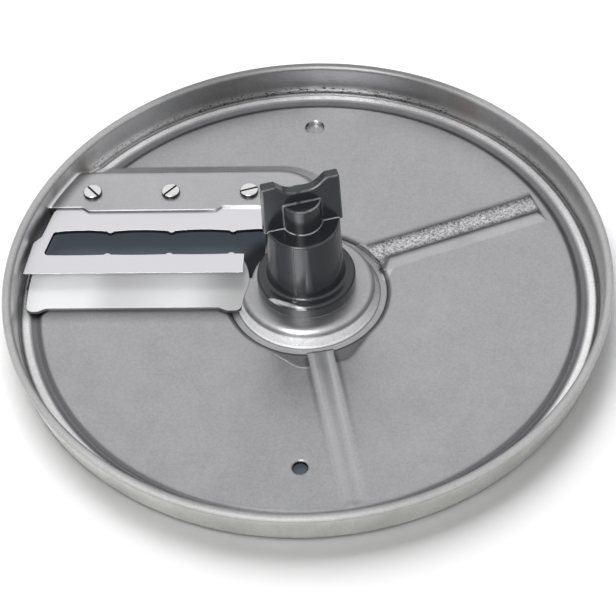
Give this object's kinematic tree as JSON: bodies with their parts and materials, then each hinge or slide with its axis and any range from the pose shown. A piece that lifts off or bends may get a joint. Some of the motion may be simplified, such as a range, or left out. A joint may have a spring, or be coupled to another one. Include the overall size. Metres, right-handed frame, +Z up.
{
  "type": "food processor slicing disc",
  "caption": "Shallow pressed steel pan with a screwed-on slicing blade, a ramp plate before its edge and a tall moulded hub with a carrying fin; slices food in a processor bowl.",
  "frame": {"origin": "on the drive axis, level with the lowest face of the pan's underside", "axes": "+Z up the drive axis through the hub, X along the blade with the blade on the -X side, the cutting edge faces -Y"},
  "size_m": [0.175, 0.175, 0.0484],
  "materials": {
    "pan_steel": "tumbled matte",
    "blade_steel": "polished",
    "ramp_steel": "polished",
    "screw_steel": "bright",
    "nut_steel": "bright",
    "hub_plastic": "moulded gloss",
    "ring_steel": "satin",
    "hub_screw_steel": "bright"
  },
  "bodies": {
    "root": {"disc_pan": "pan_steel", "blade": "blade_steel", "ramp_plate": "ramp_steel", "blade_screws": "screw_steel", "blade_nuts": "nut_steel", "hub": "hub_plastic", "hub_ring": "ring_steel", "hub_screws": "hub_screw_steel"}
  },
  "joints": []
}
